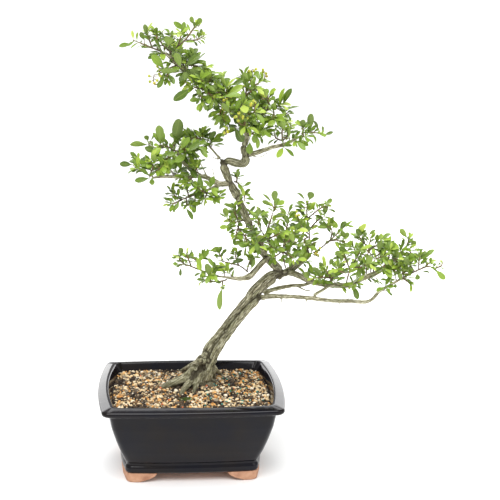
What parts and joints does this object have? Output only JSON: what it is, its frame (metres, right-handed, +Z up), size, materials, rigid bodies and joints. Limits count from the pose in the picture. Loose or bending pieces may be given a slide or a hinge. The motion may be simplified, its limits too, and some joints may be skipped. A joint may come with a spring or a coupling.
{
  "type": "firethorn bonsai in a pot",
  "caption": "Leaning firethorn bonsai with surface roots, leafy sprays and unripe berries, in a glazed rectangular pot on bracket feet.",
  "frame": {"origin": "the middle of the underside of the whole part's box, on the surface that the pot's feet stand on; the pot's own middle is 105.1 mm to its left, at -X, because the tree leans out to the right", "axes": "+Z up; +X to the right of someone facing the pot's long front side, the way the tree leans; +Y away from them"},
  "size_m": [0.4642, 0.205, 0.6081],
  "materials": {
    "glaze": "gloss",
    "soil": "matte",
    "grit": "matte",
    "bark": "matte",
    "foliage": "satin",
    "berries": "satin",
    "drain_screen": "matte"
  },
  "bodies": {
    "root": {"berries_apex": "berries", "berries_central": "berries", "berries_crown_front": "berries", "berries_crown_low": "berries", "berries_crown_side": "berries", "berries_crown_top": "berries", "berries_left": "berries", "berries_neck": "berries", "berries_right": "berries", "drain_screen_left": "drain_screen", "drain_screen_right": "drain_screen", "grit": "grit", "pot": "glaze", "soil": "soil", "spray_apex_left": "foliage", "spray_apex_low": "foliage", "spray_apex_rear": "foliage", "spray_apex_right": "foliage", "spray_apex_top": "foliage", "spray_central_front": "foliage", "spray_central_left": "foliage", "spray_central_left_rear": "foliage", "spray_central_middle": "foliage", "spray_central_rear": "foliage", "spray_central_right": "foliage", "spray_crown_front": "foliage", "spray_crown_left": "foliage", "spray_crown_low": "foliage", "spray_crown_middle": "foliage", "spray_crown_rear": "foliage", "spray_crown_rear_right": "foliage", "spray_crown_right": "foliage", "spray_crown_top": "foliage", "spray_left_high": "foliage", "spray_left_low_tip": "foliage", "spray_left_low_twig": "foliage", "spray_left_low_under": "foliage", "spray_left_middle": "foliage", "spray_left_middle_rear": "foliage", "spray_left_rear": "foliage", "spray_left_tip": "foliage", "spray_left_top": "foliage", "spray_left_under": "foliage", "spray_left_under_near": "foliage", "spray_lower_middle": "foliage", "spray_lower_tip": "foliage", "spray_neck_left": "foliage", "spray_neck_rear": "foliage", "spray_neck_right": "foliage", "spray_right_arm_near": "foliage", "spray_right_arm_tip": "foliage", "spray_right_end": "foliage", "spray_right_far": "foliage", "spray_right_front": "foliage", "spray_right_near": "foliage", "spray_right_rear": "foliage", "spray_right_rise": "foliage", "spray_stub_twig": "foliage", "spray_trunk_shoot": "foliage", "wood": "bark"}
  },
  "joints": []
}
